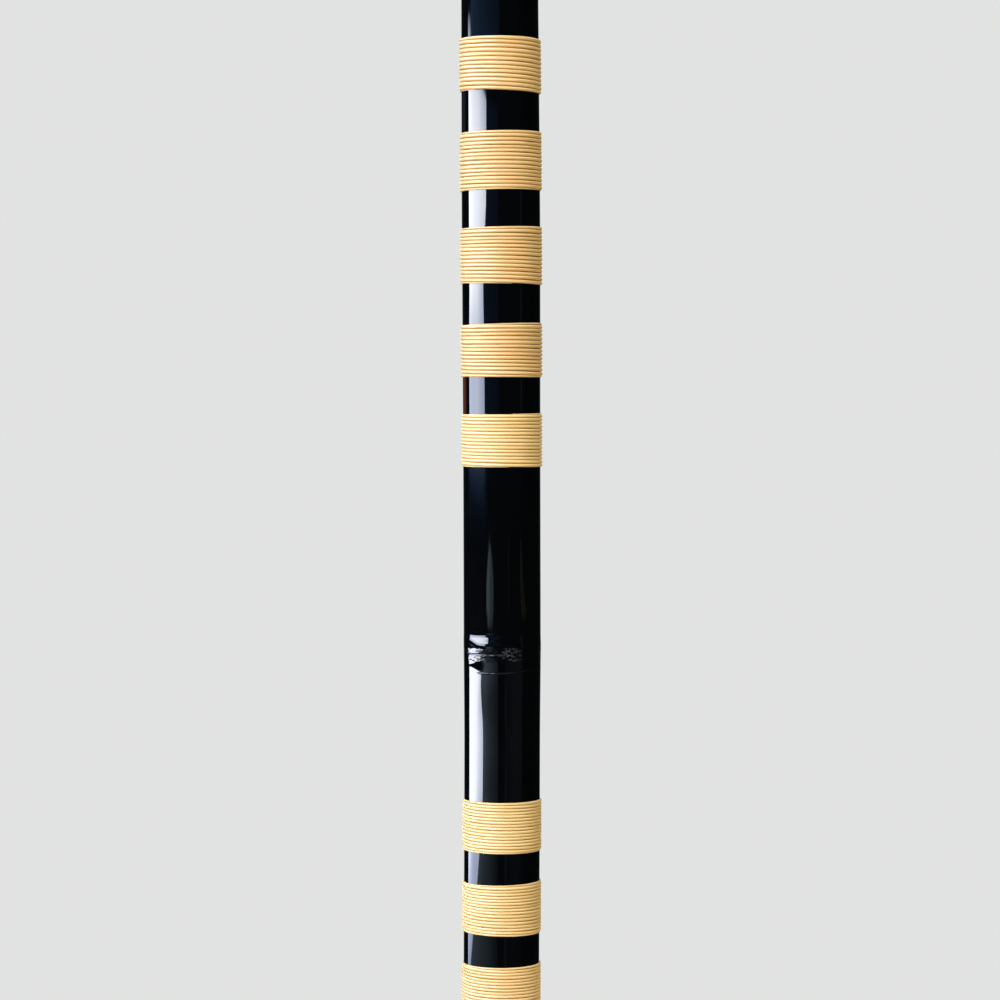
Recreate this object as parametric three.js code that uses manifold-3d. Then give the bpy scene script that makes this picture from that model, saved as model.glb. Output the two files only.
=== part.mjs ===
// A side-blown bamboo flute in black lacquer, bound with rattan.
// Millimetres. +Z runs up the cane from the foot end (z = 0) to the head end, and the
// mouth hole and the finger holes open towards +Y.
import * as THREE from "three";
import { mergeVertices } from "three/addons/utils/BufferGeometryUtils.js";
import Module from "manifold-3d";

// ---- Driving dimensions ----
const LENGTH = 440;
const BORE_RADIUS = 6.8;
const FACETS = 32; // round every turned piece, so coaxial pieces have parallel sides

// The cane's outer radius at heights along it: it tapers to the foot, and steps in below the node.
const CANE_RADII = [
  [0, 9.55],
  [170, 9.74],
  [226, 9.78],
  [240, 9.86],
  [250, 9.95],
  [304, 9.94],
  [360, 10.06],
  [414, 9.88],
  [LENGTH, 9.78],
];
const NODE_HEIGHT = 247;
const NODE_RIDGE = 0.12; // how far the cane's natural joint stands up
const NODE_HALF_WIDTH = 1.5;
const RIM_ROUNDING = 0.8;
const BORE_EDGE = 0.4;

// Rattan bindings, from the head end down. Turns is how often the strand goes round.
const HEAD_BINDINGS = [
  { centre: 421.0, width: 14.0, turns: 13 },
  { centre: 396.8, width: 13.7, turns: 13 },
  { centre: 372.4, width: 14.9, turns: 15 },
  { centre: 348.4, width: 14.4, turns: 15 },
  { centre: 324.3, width: 13.6, turns: 14 },
  { centre: 301.4, width: 13.5, turns: 15 },
];
const FOOT_BINDING_COUNT = 10;
const FIRST_FOOT_BINDING = 202.7;
const FOOT_BINDING_PITCH = 21.1;
const FOOT_BINDING_WIDTH = 13.1;
const FOOT_BINDING_TURNS = 16;
const GROOVE_DEPTH = 0.2; // each binding lies in a shallow seat turned into the cane
const GROOVE_MARGIN = 0.1; // free seat at each end of a binding
const BINDING_CLEARANCE = 0.05;
const STRAND_RISE = 0.54; // how far a strand stands above the cane, as a share of its width

// Holes, as length along the cane and width across it. They widen a little towards the bore.
const MOUTH_HOLE = { height: 280, length: 12.4, width: 10.2 };
const FINGER_HOLE_COUNT = 7;
const FINGER_HOLE = { length: 6.4, width: 6.0 };
const HOLE_FLARE = 1.06;
const HOLE_FACETS = 24;

// Inside the head: the stopper ends the air column, and the weight balances the flute.
const FILLING_CLEARANCE = 0.15;
const STOPPER = { bottom: 288, top: 302 };
const WEIGHT = { bottom: 306, top: 356, radius: 4.0 };
const WRAP_CLEARANCE = 0.1;
const HEAD_PLUG = { bottom: 408, top: 437 };
const END_CLOTH = { bottom: 437.2, edge: 437.9, crown: 438.8 };

// ---- Materials ----
const finish = (color, roughness, metalness = 0) =>
  new THREE.MeshStandardMaterial({ color, roughness, metalness });
const BLACK_LACQUER = finish(0x07090c, 0.08);
const RATTAN = finish(0xe6c58c, 0.45);
const BEESWAX = finish(0xb07a34, 0.5);
const LEAD = finish(0x6b6e73, 0.55, 0.9);
const MULBERRY_PAPER = finish(0xe9e2cf, 0.9);
const PLAIN_WOOD = finish(0xc9a36b, 0.6);
const RED_BROCADE = finish(0x8c1f22, 0.8);

// ---- Helpers ----
function named(name, geometry, material) {
  const mesh = new THREE.Mesh(geometry, material);
  mesh.name = name;
  return mesh;
}

// Turns an outline of [radius, height] points about +Z. An outline off the axis closes on itself.
function turned(outline) {
  const points = outline.map(([radius, height]) => new THREE.Vector2(radius, height));
  return new THREE.LatheGeometry(points, FACETS).rotateX(Math.PI / 2);
}

const turnedRing = (outline) => turned([...outline, outline[0]]);

function turnedRod(radius, bottom, top) {
  return turned([
    [0, bottom],
    [radius, bottom],
    [radius, top],
    [0, top],
  ]);
}

function caneRadius(height) {
  const above = CANE_RADII.findIndex(([at]) => at >= height);
  if (above <= 0) return CANE_RADII[0][1];
  const [lowHeight, lowRadius] = CANE_RADII[above - 1];
  const [highHeight, highRadius] = CANE_RADII[above];
  const share = (height - lowHeight) / (highHeight - lowHeight);
  return THREE.MathUtils.lerp(lowRadius, highRadius, share);
}

// ---- Booleans ----
const wasm = await Module();
wasm.setup();

function toSolid(geometry) {
  const bare = geometry.clone();
  bare.deleteAttribute("normal");
  bare.deleteAttribute("uv");
  const merged = mergeVertices(bare, 1e-4);
  return new wasm.Manifold(
    new wasm.Mesh({
      numProp: 3,
      vertProperties: new Float32Array(merged.attributes.position.array),
      triVerts: new Uint32Array(merged.index.array),
    }),
  );
}

function toGeometry(solid) {
  const { vertProperties, triVerts } = solid.getMesh();
  const geometry = new THREE.BufferGeometry();
  geometry.setAttribute("position", new THREE.BufferAttribute(vertProperties, 3));
  geometry.setIndex(new THREE.BufferAttribute(triVerts, 1));
  geometry.computeVertexNormals();
  return geometry;
}

// ---- Bindings ----
const FOOT_BINDINGS = Array.from({ length: FOOT_BINDING_COUNT }, (_, i) => ({
  centre: FIRST_FOOT_BINDING - i * FOOT_BINDING_PITCH,
  width: FOOT_BINDING_WIDTH,
  turns: FOOT_BINDING_TURNS,
}));
const BINDINGS = [...HEAD_BINDINGS, ...FOOT_BINDINGS];

function binding({ centre, width, turns }) {
  const bottom = centre - width / 2;
  const top = centre + width / 2;
  const inside = (height) => caneRadius(height) - GROOVE_DEPTH + BINDING_CLEARANCE;
  const outside = (height) => caneRadius(height) + (STRAND_RISE * width) / turns;
  return turnedRing([
    [inside(bottom), bottom],
    [outside(bottom), bottom],
    [outside(top), top],
    [inside(top), top],
  ]);
}

// ---- Bamboo tube ----
function bindingSeat({ centre, width }) {
  const bottom = centre - width / 2 - GROOVE_MARGIN;
  const top = centre + width / 2 + GROOVE_MARGIN;
  return [
    [caneRadius(bottom), bottom],
    [caneRadius(bottom) - GROOVE_DEPTH, bottom],
    [caneRadius(top) - GROOVE_DEPTH, top],
    [caneRadius(top), top],
  ];
}

function caneNode() {
  const low = NODE_HEIGHT - NODE_HALF_WIDTH;
  const high = NODE_HEIGHT + NODE_HALF_WIDTH;
  return [
    [caneRadius(low), low],
    [caneRadius(NODE_HEIGHT) + NODE_RIDGE, NODE_HEIGHT],
    [caneRadius(high), high],
  ];
}

// The outer side from the foot up. Seats come before the plain heights that they cover.
function caneSide() {
  const seats = BINDINGS.map(bindingSeat);
  const covered = (height) =>
    seats.some((seat) => height > seat[0][1] && height < seat[3][1]) ||
    Math.abs(height - NODE_HEIGHT) < NODE_HALF_WIDTH ||
    height < RIM_ROUNDING ||
    height > LENGTH - RIM_ROUNDING;
  const plain = CANE_RADII.filter(([height]) => !covered(height)).map(([height, radius]) => [
    radius,
    height,
  ]);
  return [...seats.flat(), ...caneNode(), ...plain].sort((a, b) => a[1] - b[1]);
}

// A hole's cutter, standing across the cane's +Y wall.
function holeCutter({ height, length, width }) {
  const depth = caneRadius(height);
  const cutter = new THREE.CylinderGeometry(0.5, 0.5 * HOLE_FLARE, depth, HOLE_FACETS);
  return cutter.scale(width, 1, length).translate(0, BORE_RADIUS / 2 + depth / 2, height);
}

const FINGER_HOLES = Array.from({ length: FINGER_HOLE_COUNT }, (_, i) => ({
  ...FINGER_HOLE,
  height: FIRST_FOOT_BINDING - (i + 0.5) * FOOT_BINDING_PITCH,
}));

function bambooTube() {
  const foot = caneRadius(0);
  const head = caneRadius(LENGTH);
  const blank = turnedRing([
    [BORE_RADIUS, BORE_EDGE],
    [BORE_RADIUS + BORE_EDGE, 0],
    [foot - RIM_ROUNDING, 0],
    [foot, RIM_ROUNDING],
    ...caneSide(),
    [head, LENGTH - RIM_ROUNDING],
    [head - RIM_ROUNDING, LENGTH],
    [BORE_RADIUS + BORE_EDGE, LENGTH],
    [BORE_RADIUS, LENGTH - BORE_EDGE],
  ]);
  const holes = [MOUTH_HOLE, ...FINGER_HOLES];
  return toGeometry(
    holes.reduce((solid, hole) => solid.subtract(toSolid(holeCutter(hole))), toSolid(blank)),
  );
}

// ---- Head filling ----
const FILLING_RADIUS = BORE_RADIUS - FILLING_CLEARANCE;

const waxStopper = () => turnedRod(FILLING_RADIUS, STOPPER.bottom, STOPPER.top);
const leadWeight = () => turnedRod(WEIGHT.radius, WEIGHT.bottom, WEIGHT.top);
const headPlug = () => turnedRod(FILLING_RADIUS, HEAD_PLUG.bottom, HEAD_PLUG.top);

const paperWrap = () =>
  turnedRing([
    [WEIGHT.radius + WRAP_CLEARANCE, WEIGHT.bottom],
    [FILLING_RADIUS, WEIGHT.bottom],
    [FILLING_RADIUS, WEIGHT.top],
    [WEIGHT.radius + WRAP_CLEARANCE, WEIGHT.top],
  ]);

// The cloth over the plug's end is crowned a little, so its rim sits lower than its middle.
const endCloth = () =>
  turned([
    [0, END_CLOTH.bottom],
    [FILLING_RADIUS, END_CLOTH.bottom],
    [FILLING_RADIUS, END_CLOTH.edge],
    [FILLING_RADIUS * 0.6, THREE.MathUtils.lerp(END_CLOTH.edge, END_CLOTH.crown, 0.75)],
    [0, END_CLOTH.crown],
  ]);

// ---- Assembly ----
const flute = new THREE.Group();
flute.add(
  named("bamboo_tube", bambooTube(), BLACK_LACQUER),
  named("wax_stopper", waxStopper(), BEESWAX),
  named("lead_weight", leadWeight(), LEAD),
  named("paper_wrap", paperWrap(), MULBERRY_PAPER),
  named("head_plug", headPlug(), PLAIN_WOOD),
  named("end_cloth", endCloth(), RED_BROCADE),
);
BINDINGS.forEach((place, i) => {
  flute.add(named(`binding_${String(i + 1).padStart(2, "0")}`, binding(place), RATTAN));
});

export default flute;
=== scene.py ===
"""Looks for the lacquered, rattan-bound bamboo flute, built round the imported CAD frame, in metres.

+Z runs up the flute to its head. The camera looks at its plain back, from -Y, and the holes face +Y.
"""

import math

import bmesh
import bpy
import numpy as np
from mathutils import Matrix, Vector, noise


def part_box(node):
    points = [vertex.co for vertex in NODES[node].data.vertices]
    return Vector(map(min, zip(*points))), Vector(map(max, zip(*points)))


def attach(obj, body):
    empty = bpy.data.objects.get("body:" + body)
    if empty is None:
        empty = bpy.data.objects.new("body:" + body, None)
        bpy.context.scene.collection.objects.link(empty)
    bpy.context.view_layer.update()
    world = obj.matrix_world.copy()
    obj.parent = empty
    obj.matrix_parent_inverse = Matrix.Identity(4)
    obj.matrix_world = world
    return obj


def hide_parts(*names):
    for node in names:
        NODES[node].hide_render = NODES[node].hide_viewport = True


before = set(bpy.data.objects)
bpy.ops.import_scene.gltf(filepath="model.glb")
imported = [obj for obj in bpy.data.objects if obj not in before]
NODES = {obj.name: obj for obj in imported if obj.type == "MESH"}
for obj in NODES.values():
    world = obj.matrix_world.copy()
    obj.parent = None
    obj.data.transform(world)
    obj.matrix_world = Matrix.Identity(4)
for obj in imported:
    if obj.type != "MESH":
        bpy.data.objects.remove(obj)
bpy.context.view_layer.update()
MM = 0.001
rng = np.random.default_rng(11)
scene = bpy.context.scene

# ---- What the frame says about the flute ----


SAME_LEVEL = 0.02 * MM  # corners whose heights differ by less lie on one ring
OUTER_SHARE = 0.9  # the outer side lies further out than this share of the largest radius


def corners_of(node):
    """The x, y and z of each corner of a CAD node, and its distance from the axis."""
    mesh = NODES[node].data
    corners = np.empty(len(mesh.vertices) * 3)
    mesh.vertices.foreach_get("co", corners)
    x, y, z = corners.reshape(-1, 3).T
    return x, y, z, np.hypot(x, y)


def outline_of(node):
    """Heights and outer radii of the rings of corners on a turned CAD node, measured on its back."""
    _, y, z, radii = corners_of(node)
    on_back = (y < 0) & (radii > OUTER_SHARE * radii[y < 0].max())
    z, radii = z[on_back], radii[on_back]
    levels = np.unique(np.round(z, 5))
    return levels, np.array([radii[np.abs(z - level) < SAME_LEVEL].max() for level in levels])


BINDINGS = sorted((n for n in NODES if n.startswith("binding_")), key=lambda n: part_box(n)[0].z)
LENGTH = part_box("bamboo_tube")[1].z
RIM_ROUNDING = 0.8 * MM
SEAT_DEPTH = 0.2 * MM
SEAT_INSET = 0.4 * MM  # how far inside a binding's end its seat begins
SEAT_EDGE = 0.1 * MM  # the length over which the seat falls to its depth
STRAND_RISE = 0.54  # how far a strand stands above the cane, as a share of its width

seats = [(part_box(n)[0].z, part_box(n)[1].z) for n in BINDINGS]
gaps = [(low[1], high[0]) for low, high in zip(seats, seats[1:])]
clear_stretch = max(gaps, key=lambda gap: gap[1] - gap[0])

levels, radii = outline_of("bamboo_tube")
inside_clear = (levels > clear_stretch[0] + 1 * MM) & (levels < clear_stretch[1] - 1 * MM)
NODE_HEIGHT = levels[inside_clear][np.argmax(radii[inside_clear])]

# The cane's taper without its node and its rims, smoothed so that no corner shows.
SMOOTHING = 4 * MM
FINE_STEP = 0.25 * MM
KERNEL_REACH = 60  # steps to either side
OVERHANG = 20 * MM  # how far past both ends the taper is known
on_taper = (np.abs(levels - NODE_HEIGHT) > 0.5 * MM) & (levels > 0.5 * MM)
on_taper &= levels < LENGTH - 0.5 * MM
fine_heights = np.arange(-OVERHANG, LENGTH + OVERHANG, FINE_STEP)
kernel = np.exp(-0.5 * (np.arange(-KERNEL_REACH, KERNEL_REACH + 1) * FINE_STEP / SMOOTHING) ** 2)
fine_radii = np.convolve(
    np.pad(np.interp(fine_heights, levels[on_taper], radii[on_taper]), KERNEL_REACH, mode="edge"),
    kernel / kernel.sum(),
    mode="valid",
)


def cane_radius(height):
    """The plain cane's outer radius."""
    return np.interp(height, fine_heights, fine_radii)


BORE_RADIUS = 6.8 * MM
BEND = 0.31 * MM  # how far the cane strays towards +X where it strays most
BEND_HEIGHT = 262 * MM
BEND_REACH = (89 * MM, 146 * MM)  # how far below and above there it is back in line


def bent(points):
    """Points moved with the cane's natural bend. The bore is drilled straight, so it stays in place."""
    points = np.array(points)
    x, y, height = points.T
    from_bend = height - BEND_HEIGHT
    reach = np.where(from_bend < 0, *BEND_REACH)
    shift = BEND * np.cos(from_bend / reach * math.pi / 2)
    share = np.clip((np.hypot(x, y) - BORE_RADIUS) / (cane_radius(height) - BORE_RADIUS), 0, 1)
    points[:, 0] += shift * share
    return points


# ---- Mesh helpers ----


def make_object(name, points, faces, materials, face_materials=None):
    """A mesh object with its faces turned outward and its unused points removed."""
    mesh = bpy.data.meshes.new(name)
    mesh.from_pydata([tuple(p) for p in points], [], faces)
    for material in materials:
        mesh.materials.append(material)
    if face_materials is not None:
        mesh.polygons.foreach_set("material_index", face_materials)
    mesh.polygons.foreach_set("use_smooth", [True] * len(mesh.polygons))
    bm = bmesh.new()
    bm.from_mesh(mesh)
    bmesh.ops.delete(bm, geom=[v for v in bm.verts if not v.link_faces], context="VERTS")
    bmesh.ops.recalc_face_normals(bm, faces=bm.faces)
    bm.to_mesh(mesh)
    bm.free()
    made = bpy.data.objects.new(name, mesh)
    scene.collection.objects.link(made)
    return made


def ring_points(radius, height, azimuths):
    """Points round the flute's axis. Azimuth 0 faces the camera and a quarter turn faces +X."""
    radius = np.broadcast_to(radius, azimuths.shape)
    height = np.broadcast_to(height, azimuths.shape)
    return np.stack([radius * np.sin(azimuths), -radius * np.cos(azimuths), height], axis=-1)


# ---- Material helpers ----


def new_material(name, settings):
    """A material, its node tree and its shader, whose own inputs take the settings."""
    material = bpy.data.materials.new(name)
    material.use_nodes = True
    shader = material.node_tree.nodes["Principled BSDF"]
    for key, value in settings.items():
        shader.inputs[key].default_value = value
    return material, material.node_tree, shader


def add(tree, kind, **settings):
    """A new node. A setting is the value of an input, or else one of the node's own properties."""
    made = tree.nodes.new(kind)
    for key, value in settings.items():
        if key in made.inputs:
            made.inputs[key].default_value = value
        else:
            setattr(made, key, value)
    return made


def math_node(tree, operation, a, b=None):
    """One step of arithmetic on numbers or sockets. b is left out where the step takes one value."""
    made = add(tree, "ShaderNodeMath", operation=operation)
    for socket, value in zip(made.inputs, (a, b)):
        if value is None:
            continue
        if isinstance(value, (int, float)):
            socket.default_value = value
        else:
            tree.links.new(value, socket)
    return made.outputs[0]


def times(tree, a, b):
    return math_node(tree, "MULTIPLY", a, b)


def plus(tree, a, b):
    return math_node(tree, "ADD", a, b)


def object_place(tree):
    """The surface's coordinates on its own object, in metres."""
    return add(tree, "ShaderNodeTexCoord").outputs["Object"]


def axes_of(tree, source):
    """The three parts of a vector."""
    made = add(tree, "ShaderNodeSeparateXYZ")
    tree.links.new(source, made.inputs[0])
    return made.outputs


def stretched(tree, source, scale):
    """Coordinates times a scale for each axis."""
    mapping = add(tree, "ShaderNodeMapping", Scale=scale)
    tree.links.new(source, mapping.inputs["Vector"])
    return mapping.outputs[0]


def noise_of(tree, source, scale, detail=3.0, roughness=0.5):
    """Noise with scale cells to the unit along each axis."""
    made = add(tree, "ShaderNodeTexNoise", Scale=1.0, Detail=detail, Roughness=roughness)
    tree.links.new(stretched(tree, source, scale), made.inputs["Vector"])
    return made.outputs["Fac"]


def ramp(tree, source, stops):
    """Colours between (place, colour) stops."""
    made = add(tree, "ShaderNodeValToRGB")
    elements = made.color_ramp.elements
    while len(elements) < len(stops):
        elements.new(0.5)
    for element, (place, colour) in zip(elements, stops):
        element.position = place
        element.color = (*colour, 1.0)
    tree.links.new(source, made.inputs["Fac"])
    return made.outputs["Color"]


def mixed(tree, factor, a, b, blend="MIX"):
    """Colour a mixed with colour b by the factor. Each may be a socket or a plain value."""
    made = add(tree, "ShaderNodeMix", data_type="RGBA", blend_type=blend)
    for socket, value in ((made.inputs[0], factor), (made.inputs[6], a), (made.inputs[7], b)):
        if isinstance(value, (int, float)):
            socket.default_value = value
        elif isinstance(value, tuple):
            socket.default_value = (*value, 1.0)
        else:
            tree.links.new(value, socket)
    return made.outputs[2]


def bumped(tree, height, distance, strength=1.0, below=None):
    """A normal from a height socket, on top of the normal below."""
    made = add(tree, "ShaderNodeBump", Strength=strength, Distance=distance)
    tree.links.new(height, made.inputs["Height"])
    if below is not None:
        tree.links.new(below, made.inputs["Normal"])
    return made.outputs["Normal"]


def between(tree, source, low, high):
    """0 below low, 1 above high, smooth in between. high may be the lower of the two."""
    made = add(tree, "ShaderNodeMapRange", interpolation_type="SMOOTHSTEP")
    made.inputs["From Min"].default_value = low
    made.inputs["From Max"].default_value = high
    tree.links.new(source, made.inputs["Value"])
    return made.outputs["Result"]


# ---- Materials ----
SCAR_PLACE = 2.8 * MM  # the node's roughest stretch lies this far to the right
SCAR_REACH = 3.2 * MM
COARSE_BAND = (2.0 * MM, 1.4 * MM)  # how far from the node's ridge its coarse lacquer fades out


def black_lacquer():
    """Deep polished lacquer over faint cane fibres, a little coarser on the node."""
    material, tree, shader = new_material("black_lacquer", {"IOR": 1.52})
    place = object_place(tree)
    fibres = noise_of(tree, place, (900, 900, 14), detail=2)
    waves = noise_of(tree, place, (110, 110, 22), detail=1)
    x, _, height = axes_of(tree, place)
    from_node = math_node(tree, "ABSOLUTE", math_node(tree, "SUBTRACT", height, NODE_HEIGHT))
    on_node = between(tree, from_node, *COARSE_BAND)
    patches = between(tree, noise_of(tree, place, (1000, 1000, 1700), detail=4), 0.52, 0.60)
    beside = math_node(tree, "ABSOLUTE", math_node(tree, "SUBTRACT", x, SCAR_PLACE))
    scarred = times(tree, patches, between(tree, beside, SCAR_REACH, 0.5 * SCAR_REACH))
    grain = noise_of(tree, place, (1900, 1900, 2300), detail=3)
    tint = ramp(tree, waves, [(0.35, (0.0007, 0.0010, 0.0014)), (0.7, (0.0012, 0.0013, 0.0016))])
    tree.links.new(tint, shader.inputs["Base Color"])
    haze = times(tree, noise_of(tree, place, (260, 260, 60)), 0.03)
    rough = plus(tree, haze, 0.02)
    coarse = times(tree, on_node, 0.05)
    tree.links.new(plus(tree, rough, coarse), shader.inputs["Roughness"])
    normal = bumped(tree, waves, 0.012 * MM, 0.35)
    normal = bumped(tree, fibres, 0.0012 * MM, 0.5, normal)
    depth = plus(tree, times(tree, scarred, 0.60), 0.10)
    node_grain = times(tree, times(tree, grain, on_node), depth)
    tree.links.new(bumped(tree, node_grain, 0.20 * MM, 1.0, normal), shader.inputs["Normal"])
    return material


def mottled(name, scale, detail, colours, roughness, bump, fineness=0.5):
    """A material whose one noise makes both its colours and its relief.

    The colours are (place on the noise, colour) pairs, and the bump is (distance, strength).
    """
    material, tree, shader = new_material(name, {"Roughness": roughness})
    cloud = noise_of(tree, object_place(tree), scale, detail, fineness)
    tree.links.new(ramp(tree, cloud, colours), shader.inputs["Base Color"])
    tree.links.new(bumped(tree, cloud, *bump), shader.inputs["Normal"])
    return material


def bore_lacquer():
    """The red-brown lacquer that lines the bore and the walls of the holes."""
    reds = [(0.3, (0.12, 0.012, 0.006)), (0.75, (0.20, 0.024, 0.010))]
    return mottled("bore_lacquer", (500, 500, 30), 3, reds, 0.22, (0.02 * MM, 0.5))


RATTAN_CHANGE = (seats[-5][0] + seats[-6][1]) / 2  # the bindings above here are of a warmer rattan
RATTAN_DEEPENS = (200 * MM, 150 * MM)  # down the flute, the rattan gets a little browner between these
EDGE_BROWN_AND_SHADE = (0.46, 0.97)  # where a strand's colour turns to its edges' brown, from its middle out: partly the cut edges' own browner colour, partly painted shade in the grooves between strands


def rattan():
    """Split rattan: fibres along it, tan and cream lengths, browner edges that also carry painted shade for
    the grooves, and a few dark nicks.
    """
    gloss = {"Specular IOR Level": 1.0, "Coat Weight": 0.2, "Coat Roughness": 0.35}
    material, tree, shader = new_material("rattan", gloss)
    strand = add(tree, "ShaderNodeUVMap", uv_map="strand").outputs["UV"]
    fibres = noise_of(tree, strand, (90, 7, 1), detail=4, roughness=0.65)
    lengths = noise_of(tree, strand, (34, 0.4, 1), detail=2)
    core = [(0.25, (0.835, 0.57, 0.21)), (0.5, (0.905, 0.68, 0.29)), (0.8, (0.935, 0.765, 0.39))]
    body = ramp(tree, fibres, core)
    tan = ramp(tree, lengths, [(0.32, (0.90, 0.78, 0.58)), (0.62, (1.0, 1.0, 1.0))])
    body = mixed(tree, 1.0, body, tan, "MULTIPLY")
    height = axes_of(tree, object_place(tree))[2]
    warm = between(tree, height, RATTAN_CHANGE - MM, RATTAN_CHANGE + MM)
    deep = between(tree, height, *RATTAN_DEEPENS)
    tint = mixed(tree, warm, (1.0, 1.0, 1.0), (0.93, 0.84, 0.825))
    tint = mixed(tree, deep, tint, (1.0, 0.93, 0.91))
    body = mixed(tree, 1.0, body, tint, "MULTIPLY")
    # The brown towards a strand's edges is partly the cut edges' own colour and partly painted shade where
    # the grooves between strands lie; the warm bindings get it stronger.
    edge = between(tree, math_node(tree, "ABSOLUTE", axes_of(tree, strand)[1]), *EDGE_BROWN_AND_SHADE)
    patchy = ramp(tree, noise_of(tree, strand, (120, 1.3, 1)), [(0.3, (0.45,) * 3), (0.65, (1.0,) * 3)])
    edge_and_shade_share = plus(tree, times(tree, warm, 0.2), 0.8)
    edge = times(tree, edge, edge_and_shade_share)
    edge_brown_and_groove_shade = mixed(tree, warm, (0.74, 0.35, 0.05), (0.62, 0.31, 0.035))
    body = mixed(tree, times(tree, edge, patchy), body, edge_brown_and_groove_shade)
    marks = add(tree, "ShaderNodeTexVoronoi", feature="F1", Scale=1.0)
    tree.links.new(stretched(tree, strand, (75, 0.8, 1)), marks.inputs["Vector"])
    chance = add(tree, "ShaderNodeSeparateColor")
    tree.links.new(marks.outputs["Color"], chance.inputs[0])
    rare = math_node(tree, "GREATER_THAN", chance.outputs[0], 0.82)
    spot = times(tree, between(tree, marks.outputs["Distance"], 0.2, 0.08), rare)
    body = mixed(tree, times(tree, spot, 0.75), body, (0.26, 0.10, 0.02))
    tree.links.new(body, shader.inputs["Base Color"])
    sheen = times(tree, fibres, 0.16)
    tree.links.new(plus(tree, sheen, 0.42), shader.inputs["Roughness"])
    tree.links.new(bumped(tree, fibres, 0.014 * MM, 0.4), shader.inputs["Normal"])
    return material


def beeswax():
    """Cloudy amber wax."""
    ambers = [(0.3, (0.42, 0.22, 0.06)), (0.75, (0.62, 0.38, 0.13))]
    return mottled("beeswax", (260, 260, 260), 4, ambers, 0.42, (0.1 * MM, 0.5))


def lead():
    """Dull lead with an uneven grey oxide."""
    material, tree, shader = new_material("lead", {"Metallic": 0.85})
    oxide = noise_of(tree, object_place(tree), (500, 500, 200), detail=5)
    colour = ramp(tree, oxide, [(0.3, (0.20, 0.21, 0.23)), (0.7, (0.36, 0.37, 0.39))])
    tree.links.new(colour, shader.inputs["Base Color"])
    rough = plus(tree, times(tree, oxide, 0.3), 0.4)
    tree.links.new(rough, shader.inputs["Roughness"])
    return material


def mulberry_paper():
    """Cream paper with long fibres along the roll."""
    creams = [(0.3, (0.66, 0.60, 0.48)), (0.7, (0.85, 0.80, 0.68))]
    return mottled("mulberry_paper", (900, 900, 260), 6, creams, 0.9, (0.05 * MM, 0.6), fineness=0.7)


def plain_wood():
    """Bare wood with its grain along the plug."""
    browns = [(0.3, (0.42, 0.24, 0.10)), (0.7, (0.62, 0.41, 0.20))]
    return mottled("plain_wood", (700, 700, 60), 5, browns, 0.6, (0.05 * MM, 0.5))


LATTICE_PITCH = 2.6 * MM
THREAD_PITCH = 0.22 * MM


def brocade():
    """Red silk with a plain diamond lattice in gold thread, woven in fine ribs."""
    material, tree, shader = new_material("brocade", {"Sheen Weight": 0.3})
    place = object_place(tree)
    x, y, _ = axes_of(tree, place)
    lines = []
    for slope in (1, -1):
        run = plus(tree, x, times(tree, y, slope))
        wave = math_node(tree, "SINE", times(tree, run, math.pi / LATTICE_PITCH))
        lines.append(between(tree, math_node(tree, "ABSOLUTE", wave), 0.24, 0.14))
    lattice = math_node(tree, "MAXIMUM", *lines)
    warp = math_node(tree, "SINE", times(tree, x, 2 * math.pi / THREAD_PITCH))
    weft = math_node(tree, "SINE", times(tree, y, 2 * math.pi / THREAD_PITCH))
    weave = times(tree, warp, weft)
    silk = noise_of(tree, place, (900, 900, 900))
    red = ramp(tree, silk, [(0.3, (0.20, 0.008, 0.010)), (0.7, (0.34, 0.018, 0.018))])
    tree.links.new(mixed(tree, lattice, red, (0.55, 0.34, 0.10)), shader.inputs["Base Color"])
    rough = math_node(tree, "SUBTRACT", 0.7, times(tree, lattice, 0.3))
    tree.links.new(rough, shader.inputs["Roughness"])
    relief = plus(tree, times(tree, weave, 0.5), lattice)
    tree.links.new(bumped(tree, relief, 0.04 * MM, 0.8), shader.inputs["Normal"])
    return material


# ---- Bamboo tube ----
COLUMNS = 144
COLUMN_ANGLE = 2 * math.pi / COLUMNS
AZIMUTHS = np.arange(COLUMNS) * COLUMN_ANGLE
BORE_EDGE = 0.4 * MM

# The node. Heights are in mm above its ridge, and azimuths in degrees. Down the flute, the skin flares out to
# the ridge, falls away under it, bulges again round a hollow on the left, and runs back to the plain cane.
FLARE_HEIGHT = 0.36
FLARE = (5.1, 1.75)
FLARE_CUT = 1.4  # how much sooner the flare ends on the far left, where it is lower too
CUT_SECTOR = ((-160, -110), (-33, -60))
FALL_SHARE = 0.50
FALL = (1.4, -1.4)
HOLLOW_SLOPE = 0.03
HOLLOW_SECTOR = ((-59, -53), (-27, -35))
HOLLOW_WIDENS = (-57, -24)  # over these azimuths, the hollow gets HOLLOW_GROWTH taller at both ends
HOLLOW_HEIGHTS = (-2.7, -3.4)
HOLLOW_GROWTH = 1.5
RUN_OUT = (-5.2, -20.0)
CRACK_DEPTH = 0.07  # the fine split along the ridge
CRACK_HALF_WIDTH = 0.13
LEFT_CRACK_OPENS = (((-100, -80), 0.4), ((-58, -38), 0.6))  # where it opens, and by what share
LEFT_CRACK_ENDS = (22, 10)
RIGHT_CRACK_SECTOR = ((24, 34), (70, 54))
RIGHT_CRACK_SHARE = 0.4
SHEATH_LINE_HEIGHT = 0.045  # the fine raised line that the sheath left
SHEATH_LINE_HALF_WIDTH = 0.11
SHEATH_LINE_PLACE = -4.8
SHEATH_LINE_RISE = 0.9  # how much higher it lies on the right
RISE_SECTOR = ((-15, 55), (170, 90))
SHEATH_LINE_WORN = -62  # it is worn away round here
WORN_REACH = (22, 32)

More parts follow.
